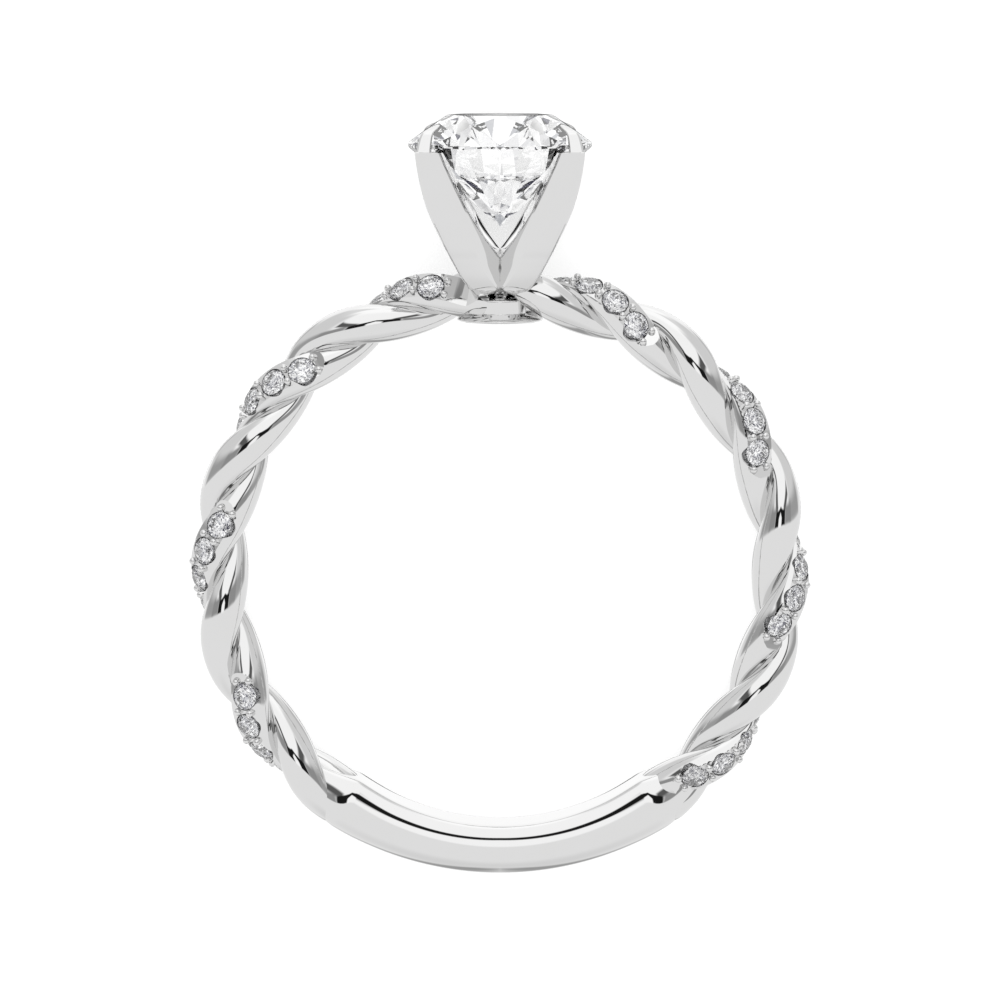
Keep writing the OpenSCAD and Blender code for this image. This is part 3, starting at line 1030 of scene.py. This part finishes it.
def light_by_direction(world):
    """A soft white studio with a pale ground and a few dark cards, as the polished metal shows it."""
    world.use_nodes = True
    world.node_tree.nodes.clear()
    sky = Nodes(world.node_tree)
    place = sky.add("ShaderNodeTexCoord").outputs["Generated"]
    turned = sky.add("ShaderNodeVectorRotate", {"Vector": place, "Angle": -LEAN}, rotation_type="X_AXIS")
    parts = sky.add("ShaderNodeSeparateXYZ", {"Vector": turned.outputs[0]}).outputs
    side = sky.math("DEGREES", sky.math("ABSOLUTE", sky.math("ARCTAN2", parts["X"], parts["Z"])))
    height = sky.math("DEGREES", sky.math("ARCSINE", parts["Y"]))
    level = SKY_LEVEL
    for side_from, side_to, low, high, low_rise, high_rise, soft, bright in CARDS:
        beside = sky.math("SUBTRACT", side, float(side_from))
        above = sky.math("SUBTRACT", height, sky.math("MULTIPLY_ADD", beside, low_rise, float(low)))
        below = sky.math("SUBTRACT", sky.math("MULTIPLY_ADD", beside, high_rise, float(high)), height)
        inside = sky.math("MINIMUM", above, below)
        if side_from:
            inside = sky.math("MINIMUM", inside, beside)
        inside = sky.math("MINIMUM", inside, sky.math("SUBTRACT", float(side_to), side))
        level = sky.add("ShaderNodeMix", {"Factor": sky.ramp(inside, -soft, soft), 2: level, 3: bright},
                        data_type="FLOAT").outputs[0]
    # What the stones break up: small patches of light and dark, darker towards the camera
    patches = sky.add("ShaderNodeTexVoronoi", {"Vector": place, "Scale": 4.0}).outputs["Color"]
    chance = sky.add("ShaderNodeSeparateXYZ", {"Vector": patches}).outputs
    facing = sky.ramp(parts["Z"], -0.2, 0.9, 0.0, 0.22)
    ramp = sky.add("ShaderNodeValToRGB", {"Fac": sky.math("SUBTRACT", chance["X"], facing)})
    ramp.color_ramp.interpolation = "CONSTANT"
    stops = ramp.color_ramp.elements
    stops[0].position, stops[0].color = 0.0, (0.02, 0.02, 0.06, 1)
    stops[1].position, stops[1].color = 0.05, (0.5, 0.51, 0.54, 1)
    for position, colour_there in ((0.17, (0.84, 0.84, 0.85, 1)), (0.42, (1.15, 1.15, 1.15, 1))):
        stops.new(position).color = colour_there
    path = sky.add("ShaderNodeLightPath").outputs
    lit = sky.add("ShaderNodeBackground", {"Color": level})
    sparkle = sky.add("ShaderNodeBackground", {"Color": ramp.outputs[0]})
    plain = sky.add("ShaderNodeBackground", {"Color": (1, 1, 1, 1)})
    broken = sky.add("ShaderNodeMixShader", {0: path["Is Transmission Ray"], 1: lit.outputs[0],
                                             2: sparkle.outputs[0]})
    either = sky.add("ShaderNodeMixShader", {0: path["Is Camera Ray"], 1: broken.outputs[0],
                                             2: plain.outputs[0]})
    sky.add("ShaderNodeOutputWorld", {"Surface": either.outputs[0]})


class RING_OT_stage(Operator):
    """Lays the floor and sets the lights and the camera"""

    bl_idname = "ring.stage"
    bl_label = "Stage"

    def execute(self, context):
        scene = context.scene
        low = min(CAD_BOX[0][2], CAD_BOX[1][2])
        bm = bmesh.new()
        bmesh.ops.create_grid(bm, x_segments=1, y_segments=1, size=0.6)
        floor = mesh_object("floor", bm)
        floor.data.transform(Matrix.Translation((0, 0, low)))
        paint, nodes, shader = new_material("pale_floor")
        nodes.feed(shader, {"Base Color": (*scene.finish.floor, 1), "Roughness": 0.9,
                            "Specular IOR Level": 0.0, "Emission Color": (1, 1, 1, 1),
                            "Emission Strength": scene.finish.floor_glow})
        floor.data.materials.append(paint)
        floor.visible_glossy = False
        floor.visible_transmission = False

        lamp = bpy.data.lights.new("overhead", "AREA")
        lamp.shape = "DISK"
        lamp.size = 0.5
        lamp.energy = 1.5
        over = bpy.data.objects.new("overhead", lamp)
        over.location = (0, 0, 0.5)
        over.visible_glossy = False
        over.visible_transmission = False
        over.visible_camera = False
        scene.collection.objects.link(over)

        world = bpy.data.worlds.new("studio")
        scene.world = world
        light_by_direction(world)

        data = bpy.data.cameras.new("camera")
        data.lens = CAMERA_LENS
        data.sensor_width = 36
        data.clip_start = 0.01
        camera = bpy.data.objects.new("camera", data)
        back = (CAMERA_EYE - CAMERA_TARGET).normalized()
        right = Vector((0, 1, 0)).cross(back).normalized()
        look = Matrix((right, back.cross(right), back)).transposed().to_4x4()
        camera.matrix_world = LAID_DOWN @ Matrix.Translation(CAMERA_EYE * MM) @ look
        scene.collection.objects.link(camera)
        scene.camera = camera

        scene.view_settings.view_transform = "Standard"
        scene.cycles.max_bounces = 24
        scene.cycles.glossy_bounces = 8
        scene.cycles.transmission_bounces = 24
        scene.cycles.transparent_max_bounces = 16
        return {"FINISHED"}


STEPS = (RING_OT_plain_strand, RING_OT_stone_strand, RING_OT_lower_band, RING_OT_head_base,
         RING_OT_head_prongs, RING_OT_bead_prongs, RING_OT_centre_stone, RING_OT_small_stones,
         RING_OT_stage)


GROUPS = {"ring_sizes": RingSizes, "stone_sizes": StoneSizes, "head_sizes": HeadSizes, "finish": Finish}


class RING_PT_panel(Panel):
    bl_idname = "RING_PT_panel"
    bl_label = "Twisted shank ring"
    bl_space_type = "VIEW_3D"
    bl_region_type = "UI"
    bl_category = "Ring"

    def draw(self, context):
        for step in STEPS:
            self.layout.operator(step.bl_idname)
        for name in GROUPS:
            group = getattr(context.scene, name)
            box = self.layout.box()
            for prop in own_properties(group):
                box.prop(group, prop.identifier)


def register():
    for group in GROUPS.values():
        bpy.utils.register_class(group)
    for name, group in GROUPS.items():
        setattr(bpy.types.Scene, name, PointerProperty(type=group))
    for step in STEPS:
        bpy.utils.register_class(step)
    bpy.utils.register_class(RING_PT_panel)


def unregister():
    bpy.utils.unregister_class(RING_PT_panel)
    for step in reversed(STEPS):
        bpy.utils.unregister_class(step)
    for name, group in GROUPS.items():
        delattr(bpy.types.Scene, name)
        bpy.utils.unregister_class(group)


def main():
    register()
    for step in STEPS:
        section, name = step.bl_idname.split(".")
        getattr(getattr(bpy.ops, section), name)()


if __name__ == "__main__":
    main()
